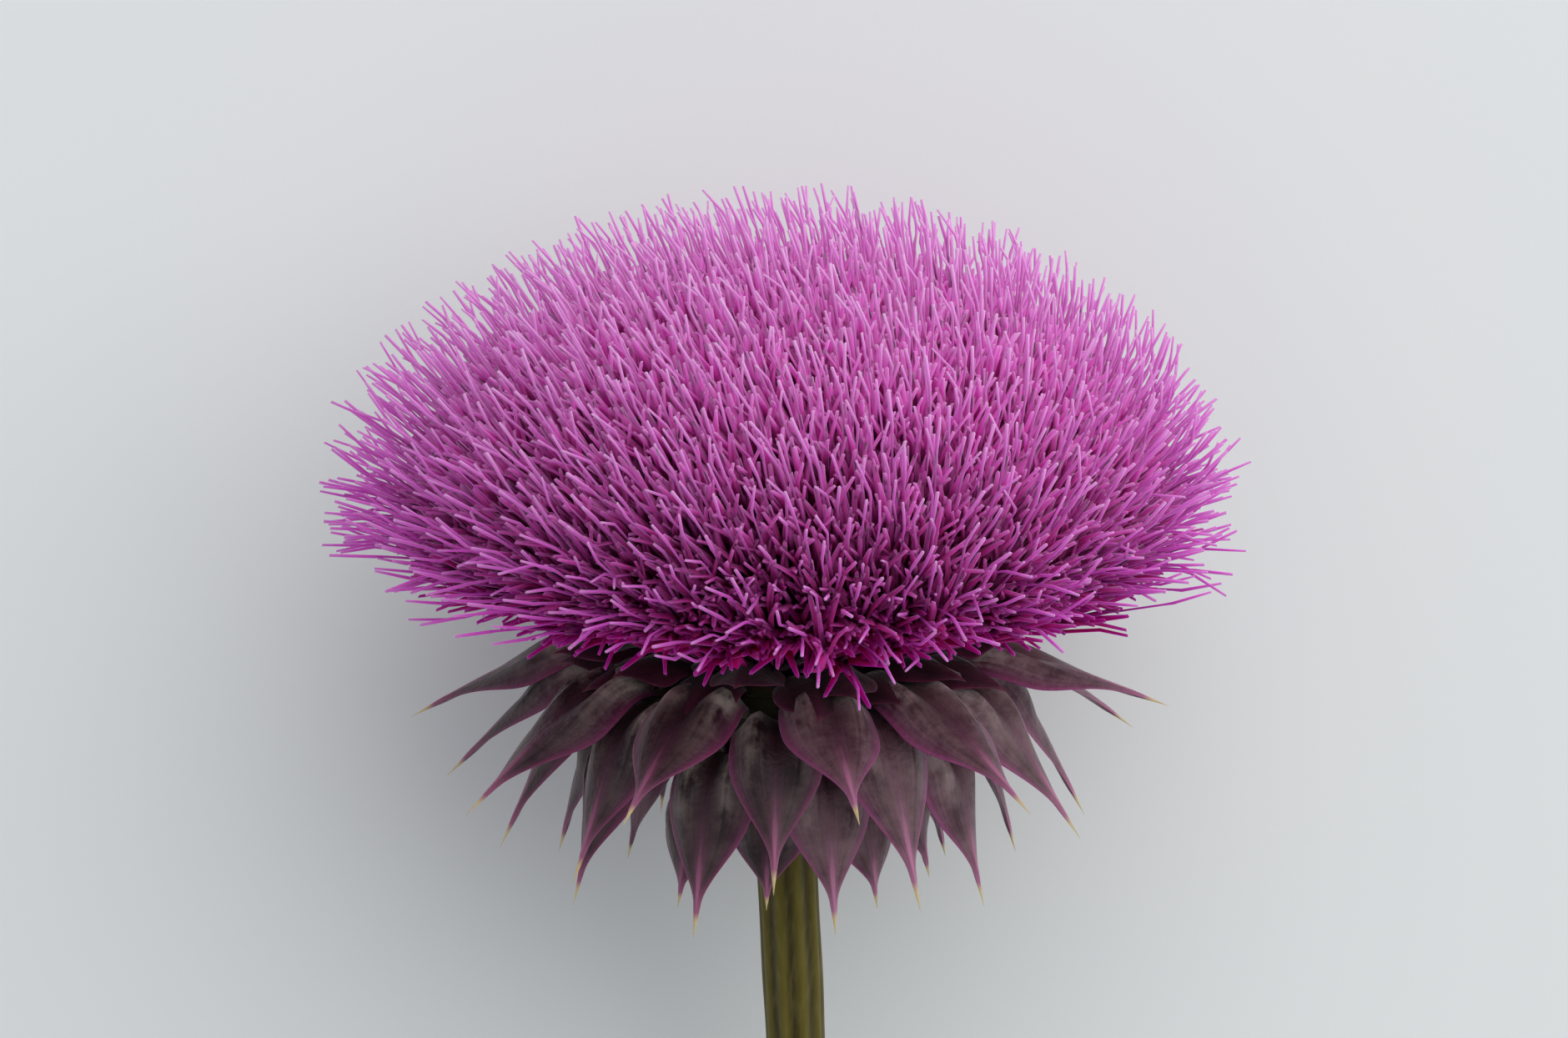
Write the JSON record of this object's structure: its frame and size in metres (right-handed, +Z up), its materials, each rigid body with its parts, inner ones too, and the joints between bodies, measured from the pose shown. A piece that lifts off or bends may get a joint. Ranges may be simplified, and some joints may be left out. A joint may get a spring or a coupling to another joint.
{
  "type": "musk thistle flower head",
  "caption": "Fresh magenta thistle head with a domed mass of thin florets, arching spined bracts and a short cut stem, lying on its side.",
  "frame": {"origin": "centre of the bounding box at the surface the flower lies on", "axes": "+Z up from that surface, +Y along the flower's lie from the stem's cut end to the florets, +X across the head"},
  "size_m": [0.0794, 0.1244, 0.0746],
  "materials": {
    "floret": "soft, matt, magenta paling to orchid at the tips",
    "bract": "leathery, waxy bloom over dark plum, magenta midrib and margins, straw spine",
    "involucre": "matt green flesh with maroon inner bracts",
    "stem": "ribbed, thinly woolly, olive green"
  },
  "bodies": {
    "root": {"stem": "stem", "involucre_cup": "involucre", "bract_upper_01": "bract", "bract_upper_02": "bract", "bract_upper_03": "bract", "bract_upper_04": "bract", "bract_upper_05": "bract", "bract_upper_06": "bract", "bract_upper_07": "bract", "bract_upper_08": "bract", "bract_upper_09": "bract", "bract_upper_10": "bract", "bract_upper_11": "bract", "bract_upper_12": "bract", "bract_middle_01": "bract", "bract_middle_02": "bract", "bract_middle_03": "bract", "bract_middle_04": "bract", "bract_middle_05": "bract", "bract_middle_06": "bract", "bract_middle_07": "bract", "bract_middle_08": "bract", "bract_middle_09": "bract", "bract_middle_10": "bract", "bract_middle_11": "bract", "bract_middle_12": "bract", "bract_lower_01": "bract", "bract_lower_02": "bract", "bract_lower_03": "bract", "bract_lower_04": "bract", "bract_lower_05": "bract", "bract_lower_06": "bract", "bract_lower_07": "bract", "bract_lower_08": "bract", "bract_lower_09": "bract", "bract_lower_10": "bract", "bract_lower_11": "bract", "bract_lowest_01": "bract", "bract_lowest_02": "bract", "bract_lowest_03": "bract", "bract_lowest_04": "bract", "bract_lowest_05": "bract", "bract_lowest_06": "bract", "bract_lowest_07": "bract", "bract_lowest_08": "bract", "florets_core": "floret", "florets_inner_1": "floret", "florets_inner_2": "floret", "florets_inner_3": "floret", "florets_inner_4": "floret", "florets_inner_5": "floret", "florets_outer_1": "floret", "florets_outer_2": "floret", "florets_outer_3": "floret", "florets_outer_4": "floret", "florets_outer_5": "floret", "florets_outer_6": "floret", "florets_outer_7": "floret", "florets_outer_8": "floret"}
  },
  "joints": []
}
